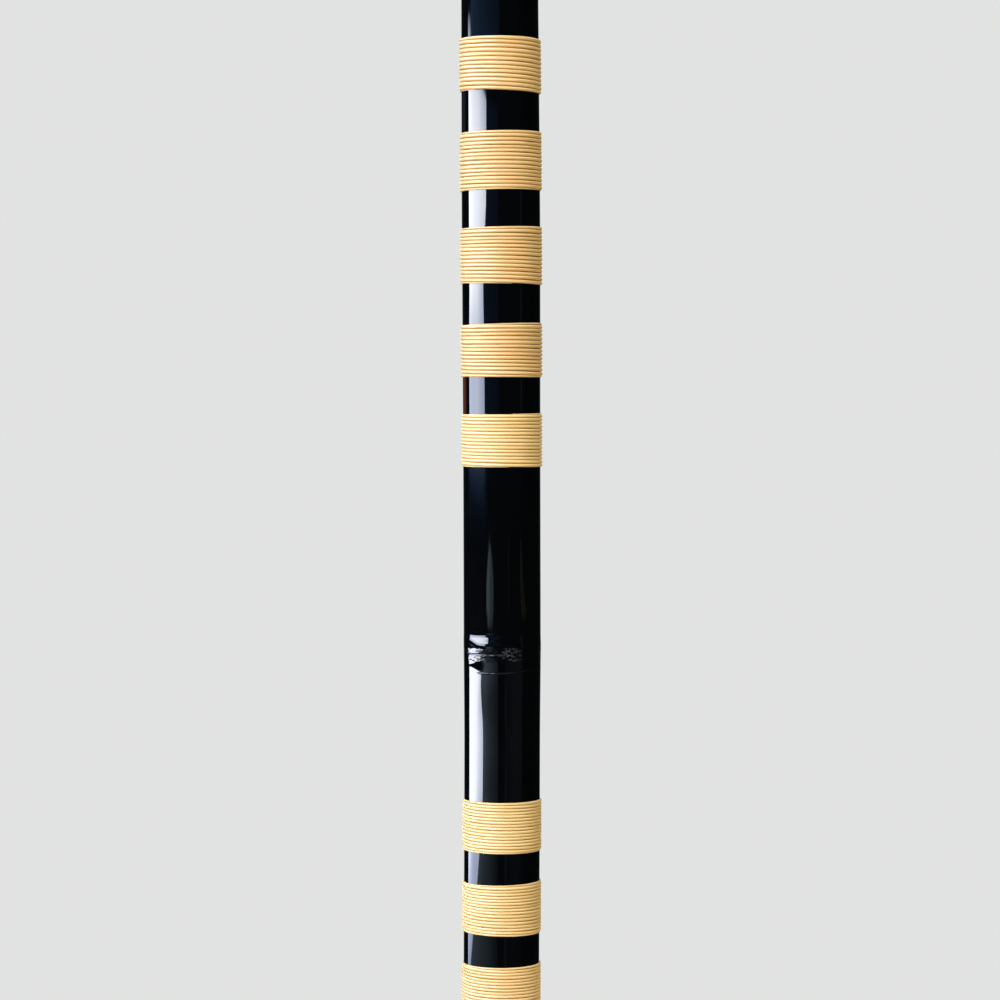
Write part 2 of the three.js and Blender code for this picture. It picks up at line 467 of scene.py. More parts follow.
# The fine unevenness of the lacquer on the node
ROUGH_HEIGHT = 0.042
ROUGH_CENTRE = -0.2
ROUGH_REACH = (1.4, 1.75)  # mm to either side, where it starts to fade and where it ends
ROUGH_CELLS = (1700, 1700, 1100)  # cells to the metre along each axis
ROUGH_FINER = 2.3  # how much finer the second layer is
ROUGH_FINER_SHARE = 0.8


def eased(value, start, end):
    """0 at the start, 1 at the end, smooth in between. end may be the lower of the two."""
    share = np.clip((value - start) / (end - start), 0, 1)
    return share * share * (3 - 2 * share)


def eased_round(azimuth, start, end):
    """Eased over azimuths given in degrees."""
    return eased(azimuth, math.radians(start), math.radians(end))


def in_sector(azimuth, sector):
    """1 inside a sector of the cane and 0 outside it. A sector is how it fades in and how it fades out."""
    fade_in, fade_out = sector
    return eased_round(azimuth, *fade_in) * eased_round(azimuth, *fade_out)


def cracks(azimuth, local):
    """How far the split along the ridge cuts in, in mm: a long one on the left, a faint one on the right."""
    left_share = sum(share * eased_round(azimuth, *opens) for opens, share in LEFT_CRACK_OPENS)
    left_share = left_share * eased_round(azimuth, *LEFT_CRACK_ENDS)
    left_place = -0.30 - 0.25 * np.tanh(2 * azimuth) + 0.06 * np.sin(9 * azimuth)
    right_share = RIGHT_CRACK_SHARE * in_sector(azimuth, RIGHT_CRACK_SECTOR)
    right_place = 1.55 + 0.10 * np.sin(7 * azimuth)
    depth = 0
    for share, place in ((left_share, left_place), (right_share, right_place)):
        depth = depth + CRACK_DEPTH * share * np.exp(-(((local - place) / CRACK_HALF_WIDTH) ** 2))
    return depth


def sheath_line(azimuth, above):
    """The sheath line's rise, in mm."""
    place = SHEATH_LINE_PLACE + SHEATH_LINE_RISE * in_sector(azimuth, RISE_SECTOR)
    unworn = eased_round(np.abs(azimuth - math.radians(SHEATH_LINE_WORN)), *WORN_REACH)
    return SHEATH_LINE_HEIGHT * unworn * np.exp(-(((above - place) / SHEATH_LINE_HALF_WIDTH) ** 2))


def node_relief(azimuth, above):
    """The node's rise over the plain cane, in mm, at points that lie above mm over its ridge."""
    wander = 0.18 * np.sin(azimuth + 2.2) + 0.08 * np.sin(3 * azimuth + 0.4)
    local = above - wander
    flare = FLARE_HEIGHT * (0.25 + 0.75 * eased(np.cos(azimuth) ** 2, 0.0, 0.25))
    cut = FLARE_CUT * in_sector(azimuth, CUT_SECTOR)
    flare = flare * (1 - cut / (FLARE[0] - FLARE[1]))
    rise = flare * (eased(local, FLARE[0], FLARE[1] + cut) - FALL_SHARE * eased(local, *FALL))
    growth = HOLLOW_GROWTH * eased_round(azimuth, *HOLLOW_WIDENS)
    hollow_top, hollow_end = HOLLOW_HEIGHTS[0] + growth, HOLLOW_HEIGHTS[1] - growth
    hollow = HOLLOW_SLOPE * (hollow_top - hollow_end) * in_sector(azimuth, HOLLOW_SECTOR)
    rise = rise + hollow * eased(local, hollow_top, hollow_end)
    rise = rise - ((1 - FALL_SHARE) * flare + hollow) * eased(local, *RUN_OUT)
    return rise - cracks(azimuth, local) + sheath_line(azimuth, above)


def roughened(point, above):
    """Fine unevenness of the lacquer over the node, in mm."""
    share = float(np.interp(abs(above - ROUGH_CENTRE), ROUGH_REACH, [1.0, 0.0]))
    if share == 0:
        return 0.0
    spot = Vector([cells * along for cells, along in zip(ROUGH_CELLS, point)])
    return ROUGH_HEIGHT * share * (noise.noise(spot) + ROUGH_FINER_SHARE * noise.noise(spot * ROUGH_FINER))


def seat_drop(height):
    """How far the skin sinks into the bindings' seats, in metres. The strands hide the seats' edges."""
    drop = np.zeros_like(height)
    for low, high in seats:
        inside = (height - low - SEAT_INSET) / SEAT_EDGE, (high - SEAT_INSET - height) / SEAT_EDGE
        drop = drop + np.clip(inside[0], 0, 1) * np.clip(inside[1], 0, 1)
    return SEAT_DEPTH * drop


def skin_radius(azimuth, height):
    """The lacquered skin's radius: the cane's own taper, seats, node and slight out-of-roundness."""
    azimuth, height = np.broadcast_arrays(azimuth, height)
    turned_in = np.remainder(azimuth + math.pi, 2 * math.pi) - math.pi
    oval = 0.020 * np.sin(2 * azimuth + 31 * height) + 0.012 * np.sin(3 * azimuth - 47 * height + 1.0)
    above = (height - NODE_HEIGHT) / MM
    near = (above < FLARE[0] + 1) & (above > RUN_OUT[1] - 1)
    relief = np.where(near, node_relief(turned_in, above), 0.0)
    return cane_radius(height) - seat_drop(height) + (oval + relief) * MM


WIDEST_HOLE = 14 * MM
HOLE_SPACING = 6 * MM  # the holes' edges lie further apart than this


def hole_boxes():
    """The holes as (height, half length, half width), from the outer edge of each in the CAD tube."""
    x, y, z, radii = corners_of("bamboo_tube")
    on_ring = np.min(np.abs(z[:, None] - outline_of("bamboo_tube")[0]), axis=1) <= SAME_LEVEL
    in_reach = (y > 0) & (np.abs(x) < WIDEST_HOLE / 2)
    lip = in_reach & ~on_ring & (radii > OUTER_SHARE * radii.max())
    order = np.argsort(z[lip])
    x, z = x[lip][order], z[lip][order]
    starts = np.where(np.diff(z) > HOLE_SPACING)[0] + 1
    found = []
    for across, along in zip(np.split(x, starts), np.split(z, starts)):
        low, high = along[0], along[-1]
        found.append(((low + high) / 2, (high - low) / 2, np.abs(across).max()))
    return found


HOLES = hole_boxes()
LIP_ROUNDING = 0.35 * MM
LIP_ANGLES = (22.5, 45, 67.5, 90)  # loops over a hole's lip, in degrees from the skin inward
INNER_ROUNDING = 0.15 * MM
HOLE_FLARE = 1.06
WALL_SHARES = (0.12, 0.4, 0.7, 1.0)  # loops down a hole's wall
BORE_SHARES = (0.3, 0.65)  # loops from a hole out to its window in the bore
BORE_MARGIN = 0.5 * MM  # a window in the bore is this much wider than its hole to either side
WIDEST_REACH = 0.97  # but no wider than this share of the bore
WINDOW_MARGIN = 0.55 * MM
WINDOW_ROWS = 11

# The rings: over the plain cane, by a seat's edges as shares of its inset, and round the node as (from, to,
# step) in mm over its ridge.
ROW_STEP = 3 * MM
LEAST_STEP = 0.05 * MM
SEAT_ROWS = (-0.5, 0.5, 0.9, 1.0)
NODE_ROWS = ((-5.8, 6.4, 0.14), (-5.2, -3.4, 0.07), (-1.2, 0.5, 0.07), (-16, 12, 0.6))


def skin_rows():
    """Heights of the skin's rings, and the (first, last) ring of the window round each hole.

    The rings lie closer together where the surface turns.
    """
    low, high = RIM_ROUNDING, LENGTH - RIM_ROUNDING
    rows = [low, high]
    rows += list(np.arange(low + 1 * MM, high, ROW_STEP))
    for foot_side, head_side in seats:
        for step in SEAT_ROWS:
            rows += [foot_side + step * SEAT_INSET, head_side - step * SEAT_INSET]
        rows += [foot_side + SEAT_INSET + SEAT_EDGE, head_side - SEAT_INSET - SEAT_EDGE]
    for span in NODE_ROWS:
        rows += list(NODE_HEIGHT + np.arange(*span) * MM)
    windows = [(z - half - WINDOW_MARGIN, z + half + WINDOW_MARGIN) for z, half, _ in HOLES]
    near = 2 * LEAST_STEP
    rows = [r for r in rows if not any(a - near < r < b + near for a, b in windows)]
    rows = sorted(r for r in rows if low <= r <= high)
    spaced = [rows[0]]
    for row in rows[1:]:
        if row - spaced[-1] > LEAST_STEP:
            spaced.append(row)
    for window in windows:
        spaced += list(np.linspace(*window, WINDOW_ROWS))
    spaced = np.array(sorted(spaced))
    return spaced, [tuple(int(np.argmin(np.abs(spaced - end))) for end in window) for window in windows]


def rounding(radius, height, size, start, steps=5):
    """Ring (radius, height) pairs for a quarter turn of a circle round that point, from angle start."""
    angles = start + np.arange(1, steps) * (math.pi / 2) / steps
    return [(radius + size * math.cos(a), height + size * math.sin(a)) for a in angles]


def bamboo_tube(lacquer, lining):
    """The tube as rings of corners, outside, over the head, down the bore and under the foot."""
    rows, windows = skin_rows()
    rings = [ring_points(skin_radius(AZIMUTHS, z), z, AZIMUTHS) for z in rows]
    for ring, z in zip(rings, rows):
        lift = np.array([roughened(point, (z - NODE_HEIGHT) / MM) * MM for point in ring])
        ring[:, :2] *= (1 + lift / cane_radius(z))[:, None]
    head, foot = float(cane_radius(LENGTH)), float(cane_radius(0))

    def plain(pairs):
        rings.extend(ring_points(r, z, AZIMUTHS) for r, z in pairs)

    plain(rounding(head - RIM_ROUNDING, LENGTH - RIM_ROUNDING, RIM_ROUNDING, 0))
    plain([(head - RIM_ROUNDING, LENGTH), (BORE_RADIUS + BORE_EDGE, LENGTH)])
    plain(rounding(BORE_RADIUS + BORE_EDGE, LENGTH - BORE_EDGE, BORE_EDGE, math.pi / 2, 4))
    inner_start = len(rings)
    window_heights = [list(rows[a : b + 1]) for a, b in windows]
    inner_rows = [LENGTH - BORE_EDGE] + sorted(sum(window_heights, []), reverse=True) + [BORE_EDGE]
    plain([(BORE_RADIUS, z) for z in inner_rows])
    inner_end = len(rings)
    plain(rounding(BORE_RADIUS + BORE_EDGE, BORE_EDGE, BORE_EDGE, math.pi, 4))
    plain([(BORE_RADIUS + BORE_EDGE, 0), (foot - RIM_ROUNDING, 0)])
    plain(rounding(foot - RIM_ROUNDING, RIM_ROUNDING, RIM_ROUNDING, -math.pi / 2))

    points = list(np.concatenate(rings))
    centre_column = COLUMNS // 2
    cut = set()
    patches = []
    for hole, (first, last) in zip(HOLES, windows):
        reach = math.asin(min(WIDEST_REACH, (hole[2] * HOLE_FLARE + BORE_MARGIN) / BORE_RADIUS))
        half_columns = math.ceil(reach / COLUMN_ANGLE)
        columns = (centre_column - half_columns, centre_column + half_columns)
        inner_first = inner_start + inner_rows.index(rows[first])
        inner_last = inner_start + inner_rows.index(rows[last])
        outer_rings = list(range(first, last + 1))
        inner_rings = list(range(inner_first, inner_last - 1, -1))
        patches.append((hole, columns, outer_rings, inner_rings))
        for ring in outer_rings[:-1]:
            cut.update((ring, c) for c in range(*columns))
        for ring in inner_rings[1:]:
            cut.update((ring, c) for c in range(*columns))

    faces, face_materials = [], []
    for ring in range(len(rings)):
        this, following = ring * COLUMNS, (ring + 1) % len(rings) * COLUMNS
        lined = int(inner_start <= ring < inner_end)
        for c in range(COLUMNS):
            if (ring, c) in cut:
                continue
            d = (c + 1) % COLUMNS
            faces.append((this + c, this + d, following + d, following + c))
            face_materials.append(lined)
    for patch in patches:
        hole_patch(points, faces, face_materials, *patch)
    return make_object("bamboo_tube_lacquered", bent(points), faces, [lacquer, lining], face_materials)


def window_loop(rings, columns):
    """Corner numbers round a window in the grid: along the bottom, up, back along the top, down."""
    first, last = columns
    loop = [rings[0] * COLUMNS + c for c in range(first, last)]
    loop += [r * COLUMNS + last for r in rings[:-1]]
    loop += [rings[-1] * COLUMNS + c for c in range(last, first, -1)]
    loop += [r * COLUMNS + first for r in rings[:0:-1]]
    return loop


def hole_patch(points, faces, face_materials, hole, columns, outer_rings, inner_rings):
    """Fills a window in the skin and the one in the bore behind it with a round-lipped oval hole."""
    height, half_length, half_width = hole
    outer, inner = window_loop(outer_rings, columns), window_loop(inner_rings, columns)
    rim = np.array([points[i] for i in outer])
    across = rim[:, 0] / np.abs(rim[:, 0]).max()
    along = (rim[:, 2] - height) / np.abs(rim[:, 2] - height).max()
    angle = np.arctan2(along, across)
    inner_rim = np.array([points[i] for i in inner])

    def oval(grow, scale=1.0):
        """The hole's outline, scaled and then grown, as x and z."""
        x = (half_width * scale + grow) * np.cos(angle)
        z = height + (half_length * scale + grow) * np.sin(angle)
        return x, z

    def on_skin(turn, z, drop=0.0):
        """Points on the skin at azimuths counted from the holes' side, sunk by the drop."""
        skin = ring_points(skin_radius(math.pi - turn, z), z, math.pi - turn)
        skin[:, 1] -= drop
        return skin

    def turn_to(x, z):
        return np.arcsin(np.clip(x / cane_radius(z), -1, 1))

    def on_bore(x, z, lift=0.0):
        return np.stack([x, np.sqrt(BORE_RADIUS**2 - x**2) + lift, z], axis=-1)

    loops = []
    lip_x, lip_z = oval(LIP_ROUNDING)
    lip_turn, rim_turn = turn_to(lip_x, lip_z), np.arctan2(rim[:, 0], rim[:, 1])
    steps = math.ceil((rim_turn.max() - lip_turn.max()) / COLUMN_ANGLE)
    for share in np.arange(steps - 1, -1, -1) / steps:
        turn = lip_turn + share * (rim_turn - lip_turn)
        loops.append((on_skin(turn, lip_z + share * (rim[:, 2] - lip_z)), 0))
    for angle_in in np.radians(LIP_ANGLES):
        x, z = oval(LIP_ROUNDING * (1 - math.sin(angle_in)))
        loops.append((on_skin(turn_to(x, z), z, LIP_ROUNDING * (1 - math.cos(angle_in))), 0))
    top = loops[-1][0]
    bottom = on_bore(*oval(0.0, HOLE_FLARE), INNER_ROUNDING)
    for share in WALL_SHARES:
        loops.append((top + share * (bottom - top), 1))
    inner_lip_x, inner_lip_z = oval(INNER_ROUNDING, HOLE_FLARE)
    loops.append((on_bore(inner_lip_x, inner_lip_z), 1))
    for share in BORE_SHARES:
        x = inner_lip_x + share * (inner_rim[:, 0] - inner_lip_x)
        z = inner_lip_z + share * (inner_rim[:, 2] - inner_lip_z)
        loops.append((on_bore(x, z), 1))

    last = outer
    for loop_points, lined in loops:
        start = len(points)
        points.extend(loop_points)
        this = list(range(start, start + len(loop_points)))
        join_loops(faces, face_materials, last, this, lined)
        last = this
    join_loops(faces, face_materials, last, inner, 1)


def join_loops(faces, face_materials, a, b, material):
    """Faces between two loops of as many corners."""
    for i in range(len(a)):
        j = (i + 1) % len(a)
        faces.append((a[i], a[j], b[j], b[i]))
        face_materials.append(material)


# ---- Rattan bindings ----
STEPS_PER_TURN = 72
ACROSS = np.array([-1.0, -0.93, -0.74, -0.40, 0.0, 0.40, 0.74, 0.93, 1.0])  # places across a strand
STRAND_FLATNESS = 2.3
BLUNT_END = 0.14  # how wide a strand's cut end is, in strand widths
CLOSE = 0.994  # a strand's share of its own pitch
BEDDING = 0.02 * MM  # how far a strand's edges stay clear of the skin under them
WIDTH_SPREAD = 0.05  # how much a strand's width varies from turn to turn, as a share of it
TURNS_SPREAD = 0.3
WOBBLE = 0.012  # the height in mm of each slow wave that a strand makes off its even path

# How far each seen binding's upper and lower edge tilts down to the right across the cane, in mm, and the
# azimuth at which its strand ends, in radians. The bindings out of sight take values drawn from DRAWN_EDGES.
DRAWN_EDGES = ((-0.4, -0.3, -3.1), (0.3, 0.4, 3.1))
SEEN_EDGES = {
    "binding_02": (0.15, 0.55, 0.22),
    "binding_03": (-0.35, -0.25, 2.6),
    "binding_04": (-0.5, 0.35, 1.15),
    "binding_05": (-0.5, 0.1, -2.4),
    "binding_06": (-0.25, 0.15, 1.05),
    "binding_07": (0.0, 0.1, 2.9),
    "binding_08": (-0.35, 0.35, -2.2),
    "binding_09": (0.0, 0.1, 2.0),
}


def strand_mesh(node, number, material):
    """One wound strand: it runs down to the right on the seen side, and both ends are shaved to a taper."""
    low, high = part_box(node)[0].z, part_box(node)[1].z
    width = high - low
    levels, radii = outline_of(node)
    rise = float(np.mean(radii - cane_radius(levels)))
    turns = round(width * STRAND_RISE / rise)
    pitch = width / turns
    drawn = tuple(rng.uniform(*DRAWN_EDGES))
    top_tilt, bottom_tilt, end_azimuth = SEEN_EDGES.get(node, drawn)

    whole = turns + rng.uniform(-TURNS_SPREAD, TURNS_SPREAD)
    widths = 1 + WIDTH_SPREAD * rng.standard_normal(turns + 4)
    edges = np.concatenate([[0], np.cumsum(widths)])
    edges = edges - edges[1]

    def edge_at(turn):
        return np.interp(turn + 1, np.arange(len(edges)), edges)

    total = edge_at(whole)

    s = np.linspace(-1 + BLUNT_END, whole - BLUNT_END, int((whole + 1) * STEPS_PER_TURN))
    upper = np.clip(edge_at(s) / total, 0, 1)
    lower = np.clip(edge_at(s + 1) / total, 0, 1)
    azimuth = end_azimuth + 2 * math.pi * (s - whole)
    wobble = sum(WOBBLE * np.sin(azimuth * k / 7.3 + rng.uniform(0, 6.3)) for k in (5, 11, 17))
    middle = high - width * (upper + lower) / 2 + wobble * MM
    span = width * (lower - upper) * CLOSE
    share_down = np.clip((high - middle) / width, 0, 1)
    tilt = top_tilt + (bottom_tilt - top_tilt) * share_down
    middle = middle - 0.5 * tilt * MM * np.sin(azimuth)

    height = middle[:, None] - 0.5 * span[:, None] * ACROSS[None]
    skin = skin_radius(azimuth[:, None], height)
    proud = rise * np.clip(span / (CLOSE * pitch), 0, 1.1) ** 0.6
    proud = proud * (1 + 0.03 * np.sin(azimuth * 0.37 + number) + 0.015 * np.sin(azimuth * 1.9))
    crest = cane_radius(middle) + proud
    crown = np.sqrt(1 - np.abs(ACROSS) ** STRAND_FLATNESS)
    radius = skin + BEDDING + (crest[:, None] - skin - BEDDING) * crown[None]
    around = np.broadcast_to(azimuth[:, None], height.shape)
    points = bent(ring_points(radius, height, around).reshape(-1, 3))

    count = len(ACROSS)
    faces = []
    for i in range(len(s) - 1):
        for p in range(count):
            q = (p + 1) % count
            faces.append((i * count + p, i * count + q, (i + 1) * count + q, (i + 1) * count + p))
    faces.append(tuple(range(count)))
    faces.append(tuple((len(s) - 1) * count + p for p in range(count)))
    made = make_object(f"{node}_strand", points, faces, [material])

    along = azimuth * float(cane_radius((low + high) / 2)) + number * 7.0
    layer = made.data.uv_layers.new(name="strand")
    corners = np.empty(len(made.data.loops), int)
    made.data.loops.foreach_get("vertex_index", corners)
    uv = np.stack([along[corners // count], ACROSS[corners % count]], axis=-1)
    layer.data.foreach_set("uv", uv.ravel())
    return made


# ---- End cloth ----
CLOTH_RINGS = 26
CLOTH_SPOKES = 96
CLOTH_EDGE = 0.45  # the height of the cloth's rim, as a share of its crown's
CROWN_SHAPE = 2.6
PUCKER = 0.04 * MM


def end_cloth(material):
    """The brocade over the head plug: a crowned round, drawn down and puckered a little at its rim."""
    low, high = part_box("end_cloth")
    radius = high.x
    around = np.arange(CLOTH_SPOKES) * 2 * math.pi / CLOTH_SPOKES
    folds = PUCKER * (np.sin(17 * around + 1) + 0.6 * np.sin(29 * around))
    edge_height = low.z + CLOTH_EDGE * (high.z - low.z)
    points, faces = [(0.0, 0.0, high.z)], []
    for ring in range(1, CLOTH_RINGS + 1):
        share = ring / CLOTH_RINGS
        crown = math.sqrt(max(0.0, 1 - share**CROWN_SHAPE))
        height = edge_height + (high.z - edge_height) * crown + share**6 * folds
        points.extend(ring_points(radius * share, height, around))
    points.extend(ring_points(0.995 * radius, low.z + 0.2 * MM, around))
    points.extend(ring_points(0.97 * radius, low.z, around))
    points.append((0.0, 0.0, low.z))
    for spoke in range(CLOTH_SPOKES):
        following = (spoke + 1) % CLOTH_SPOKES
        faces.append((0, 1 + spoke, 1 + following))
        for ring in range(CLOTH_RINGS + 1):
            this = 1 + ring * CLOTH_SPOKES
            outward = this + CLOTH_SPOKES
            faces.append((this + spoke, outward + spoke, outward + following, this + following))
        last = 1 + (CLOTH_RINGS + 1) * CLOTH_SPOKES
        faces.append((last + spoke, len(points) - 1, last + following))
    return make_object("end_cloth_brocade", points, faces, [material])


# ---- Stage: camera, lights, floor, world ----
CAMERA_LENS = 115.0
CAMERA_SENSOR = 36.0
CAMERA_DISTANCE = 0.819
CAMERA_HEIGHT = 0.3142
CAMERA_PITCH = math.radians(1.97)
CAMERA_ROLL = math.radians(-0.1)
CAMERA_SIDE = -0.0002


def set_camera():
    data = bpy.data.cameras.new("camera")
    data.lens = CAMERA_LENS
    data.sensor_width = CAMERA_SENSOR
    camera = bpy.data.objects.new("camera", data)
    scene.collection.objects.link(camera)
    turn = Matrix.Rotation(math.pi / 2 - CAMERA_PITCH, 4, "X") @ Matrix.Rotation(CAMERA_ROLL, 4, "Z")
    camera.matrix_world = Matrix.Translation((CAMERA_SIDE, -CAMERA_DISTANCE, CAMERA_HEIGHT)) @ turn
    scene.camera = camera


# What the gloss sees of the room: panes of light at PANE_DISTANCE to either side, as (name, colour where
# dim, rows). A row is a slope and its places, and a place is (bearing, strength). The bearing is in degrees
# round from the camera's side towards -X. The row lies where a ray from the camera that rises at its slope
# would arrive after the cane throws it aside. Light changes evenly between places and between rows, and
# bright places are whiter.
PANE_DISTANCE = 0.8
PANE_STEPS = 5
DAYLIGHT = (0.88, 0.91, 1.0)
SKY = (0.66, 0.75, 1.0)
BLUE_ROOM = (0.21, 0.47, 1.0)
GREY_ROOM = (0.61, 0.81, 1.0)
WHITENING = (10, 18)  # strengths between which a pane's light turns from its dim colour to daylight
PANES = [
    ("upper_window", SKY, [
        (0.1165, [(109, 2.2), (102, 1.6), (98, 0.8)]),
        (0.1095, [(109.5, 8), (101, 7), (96, 2)]),
        (0.105, [(110, 12), (98, 12), (94, 9)]),
        (0.0925, [(108, 17), (70, 17.5), (42.5, 11)]),
        (0.058, [(107, 20), (70, 20), (44, 17)]),
        (0.029, [(106.5, 17.5), (76, 18.5), (54, 12.5)]),
        (0.010, [(110, 10), (76, 13), (51, 10)]),
        (-0.012, [(110, 10), (76, 13), (51, 10)]),
        (-0.022, [(112, 13), (80, 14), (50, 10)]),
    ]),
    ("lower_window", SKY, [
        (-0.0840, [(116, 12), (104, 16), (95, 16), (84, 12), (72, 9)]),
        (-0.0904, [(118, 13), (104, 17.5), (86, 19.5), (76, 14), (69, 11)]),
        (-0.0930, [(118, 13), (104, 17.5), (86, 20), (74, 18.5), (58.5, 14)]),
        (-0.0990, [(118, 13), (104, 17.5), (86, 20), (74, 18.5), (57.5, 14)]),
        (-0.1100, [(118, 13), (104, 17.5), (86, 20), (76, 17.5), (60.5, 14)]),
        (-0.1240, [(118, 13), (104, 17.5), (88, 19.5), (76, 15.5), (61, 14)]),
        (-0.1310, [(118, 13), (104, 17.5), (90, 18), (80, 14.5), (62.5, 10)]),
        (-0.1425, [(121.5, 12.5), (114, 11.5), (105, 10), (95, 9), (72, 10)]),
        (-0.1540, [(121.5, 9.5), (112, 8.5), (104, 8), (95, 8), (82, 8.5)]),
        (-0.1690, [(121.5, 6.7), (116, 6.5), (110, 6), (105, 6.5), (98, 6)]),
        (-0.1870, [(121.5, 3.5), (120, 3.3), (119, 3.2), (118.5, 3), (118, 2.5)]),
    ]),
    ("dim_side", GREY_ROOM, [
        (-0.0800, [(73, 0.8), (60, 0.5), (54, 0.3), (47, 0.28), (36, 0.28), (21, 0.12), (13, 0.1)]),
        (-0.0890, [(70, 1.0), (60, 0.6), (54, 0.4), (47, 0.3), (36, 0.3), (21, 0.15), (13, 0.12)]),
        (-0.0904, [(69, 1.6), (60, 1.2), (54, 0.9), (47, 0.6), (36, 0.5), (21, 0.3), (13, 0.28)]),
        (-0.0930, [(58.5, 0.6), (56, 1.9), (53, 1.3), (46, 1.0), (36, 0.75), (21, 0.3), (13, 0.28)]),
        (-0.0990, [(57.5, 1.2), (55.5, 1.8), (53, 1.3), (46, 0.95), (36, 0.7), (21, 0.3), (13, 0.27)]),
        (-0.1100, [(60.5, 1.9), (57, 1.6), (53, 1.2), (46, 0.8), (36, 0.57), (21, 0.3), (13, 0.26)]),
        (-0.1240, [(61, 1.0), (57, 0.85), (53, 0.7), (46, 0.55), (36, 0.35), (21, 0.22), (13, 0.2)]),
        (-0.1310, [(62.5, 1.1), (57, 1.1), (53, 1.0), (46, 0.75), (36, 0.42), (21, 0.22), (13, 0.2)]),
        (-0.1425, [(72, 0.9), (66, 0.8), (56, 0.65), (46, 0.5), (36, 0.35), (20, 0.14), (13, 0.12)]),
        (-0.1540, [(82, 0.9), (72, 0.75), (62, 0.5), (50, 0.4), (36, 0.3), (20, 0.12), (13, 0.1)]),
        (-0.1690, [(98, 0.7), (80, 0.6), (62, 0.48), (48, 0.38), (36, 0.28), (20, 0.11), (13, 0.1)]),
        (-0.1870, [(118, 0.5), (80, 0.5), (62, 0.43), (48, 0.36), (36, 0.27), (20, 0.1), (13, 0.1)]),
    ]),
    ("blade", (0.71, 0.93, 1.0), [
        (-0.0470, [(38, 1.0), (37.4, 1.0), (37.2, 0.7), (36.5, 0.7)]),
        (-0.0500, [(42, 1.0), (39, 1.0), (37, 0.8), (32, 0.7)]),
        (-0.0550, [(45, 1.05), (39, 1.05), (37, 0.7), (28, 0.6)]),
        (-0.0600, [(48, 1.15), (39, 1.1), (37, 0.6), (26, 0.55)]),
        (-0.0690, [(48, 1.1), (39, 1.05), (37, 0.6), (26, 0.5)]),
        (-0.0695, [(44.5, 0.9), (39, 0.85), (37, 0.6), (28, 0.5)]),
        (-0.0745, [(44, 0.8), (39, 0.7), (37, 0.5), (29, 0.4)]),
    ]),
    ("far_side", GREY_ROOM, [
        (-0.090, [(-8, 0.05), (-12, 0.05), (-14, 0.06), (-40, 0.09), (-62, 0.09)]),
        (-0.115, [(-8, 0.05), (-12, 0.05), (-14, 0.06), (-40, 0.09), (-62, 0.09)]),
        (-0.130, [(-8, 0.12), (-12, 0.12), (-14, 0.03), (-40, 0.08), (-62, 0.06)]),
        (-0.190, [(-8, 0.12), (-12, 0.10), (-14, 0.02), (-40, 0.02), (-62, 0.02)]),
    ]),
    ("brown_side", (1.0, 0.8, 0.6), [
        (-0.045, [(-56, 0.14), (-58, 0.14)]),
        (-0.060, [(-56, 0.14), (-66, 0.11)]),
        (-0.071, [(-60, 0.12), (-78, 0.09)]),
    ]),
    ("green_line", (0.45, 1.0, 0.75), [
        (slope, [(-18.5, 0.15), (-20.5, 0.15)]) for slope in (-0.045, -0.068)
    ]),
    ("far_line", (0.8, 1.0, 0.95), [
        (slope, [(-57.5, 0.1), (-62, 0.1)]) for slope in (0.075, -0.012)
    ]),
    ("high_room", BLUE_ROOM, [
        (0.150, [(97, 0.7), (60, 0.4), (30, 0.24), (3, 0.15)]),
        (0.118, [(97, 0.7), (60, 0.4), (30, 0.24), (3, 0.15)]),
        (0.105, [(94, 0.42), (60, 0.42), (30, 0.42), (3, 0.42)]),
    ]),
    ("mid_room", BLUE_ROOM, [
        (0.0925, [(42.5, 0.2), (9, 0.13)]),
        (0.0580, [(44, 0.2), (9, 0.13)]),
        (0.0290, [(54, 0.14), (9, 0.11)]),
        (0.0100, [(51, 0.17), (9, 0.11)]),
        (-0.0120, [(51, 0.17), (9, 0.11)]),
    ]),
    ("low_glow", BLUE_ROOM, [
        (-0.0225, [(122, 0), (104, 0.65), (68, 0.65), (44, 0.08)]),
        (-0.0305, [(122, 0), (102, 0.2), (72, 0.48), (44, 0.08)]),
        (-0.0375, [(122, 0.05), (102, 0.07), (72, 0.09), (44, 0.06)]),
        (-0.0500, [(122, 0), (102, 0), (72, 0), (44, 0)]),
    ]),
    ("edge_glow", GREY_ROOM, [
        (slope, [(124, 0.03), (135, 0.12), (148, 0.04)]) for slope in (0.10, 0.075)
    ]),
    ("red_edge", (1.0, 0.3, 0.2), [
        (slope, [(124, 0), (133, 0.35), (142, 0.55), (152, 0.2)]) for slope in (0.010, -0.012)
    ]),
]


def pane_light():
    """Light from the panes' own colours."""
    material = bpy.data.materials.new("pane_light")
    material.use_nodes = True
    tree = material.node_tree
    tree.nodes.clear()
    glow = add(tree, "ShaderNodeEmission")
    colour = add(tree, "ShaderNodeAttribute", attribute_name="glow").outputs["Color"]
    tree.links.new(colour, glow.inputs["Color"])
    output = add(tree, "ShaderNodeOutputMaterial")
    tree.links.new(glow.outputs[0], output.inputs["Surface"])
    return material


def refined(values):
    """A grid of values with PANE_STEPS steps between neighbours, both ways."""
    for _ in range(2):
        count = values.shape[0]
        places = np.linspace(0, count - 1, (count - 1) * PANE_STEPS + 1)
        values = np.array([np.interp(places, np.arange(count), column) for column in values.T])
    return values


